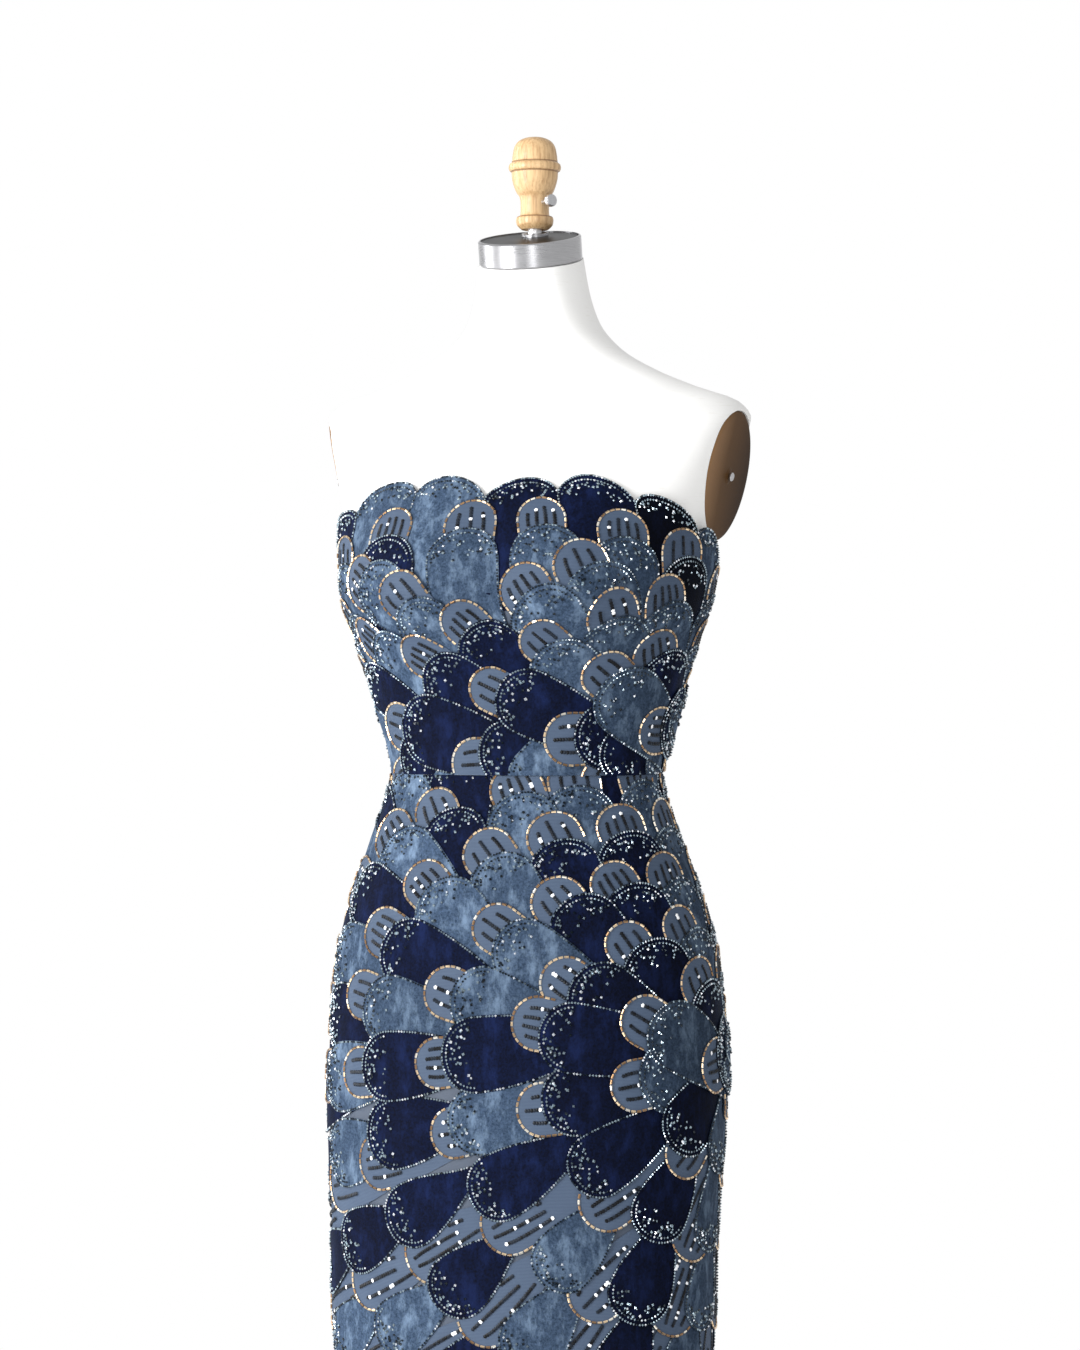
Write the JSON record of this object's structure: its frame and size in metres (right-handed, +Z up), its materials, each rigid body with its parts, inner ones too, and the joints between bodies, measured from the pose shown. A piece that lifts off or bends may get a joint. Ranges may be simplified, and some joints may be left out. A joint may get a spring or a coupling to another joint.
{
  "type": "mermaid evening gown on a dress form",
  "caption": "Strapless mermaid evening gown of overlapping beaded velvet and net petals, worn by a white linen dress form with a wooden finial on a round base.",
  "frame": {"origin": "on the floor, in the middle of the round base plate", "axes": "+Z up the form; the gown's front faces -Y; +X is the wearer's left, the viewer's right from the front"},
  "size_m": [0.6606, 0.6969, 1.626],
  "materials": {
    "beaded_velvet": "navy and steel-blue velvet under smoky net, beaded in steel and champagne",
    "white_linen": "matt woven linen",
    "brushed_steel": "brushed",
    "dark_steel": "dark, slightly glossy",
    "turned_wood": "clear satin varnish",
    "brown_plate": "brown satin lacquer"
  },
  "bodies": {
    "gown_and_form": {"bodice_front": "beaded_velvet", "bodice_back_left": "beaded_velvet", "bodice_back_right": "beaded_velvet", "skirt_front": "beaded_velvet", "skirt_back_left": "beaded_velvet", "skirt_back_right": "beaded_velvet", "back_zip": "beaded_velvet", "zip_slider": "brushed_steel", "neck_band": "brushed_steel", "neck_rod": "brushed_steel", "arm_screw_left": "brushed_steel", "arm_screw_right": "brushed_steel", "neck_plate": "dark_steel", "pole": "dark_steel", "pole_collar": "dark_steel", "base_plate": "dark_steel", "torso": "white_linen", "arm_plate_left": "brown_plate", "arm_plate_right": "brown_plate"},
    "finial": {"finial": "turned_wood"},
    "set_screw": {"set_screw": "brushed_steel"},
    "zip_pull": {"zip_pull": "brushed_steel"}
  },
  "joints": [
    {"name": "finial_turn", "type": "hinge", "parent": "gown_and_form", "child": "finial", "pos_m": [0, 0.027, 1.542], "axis": [0, 0, 1], "continuous": true},
    {"name": "set_screw_turn", "type": "hinge", "parent": "finial", "child": "set_screw", "pos_m": [0, 0.027, 1.566], "axis": [0.7771, -0.6293, 0], "continuous": true},
    {"name": "zip_pull_swing", "type": "hinge", "parent": "gown_and_form", "child": "zip_pull", "pos_m": [0, 0.11055, 1.19433], "axis": [1, 0, 0], "range_deg": [0, 150]}
  ]
}
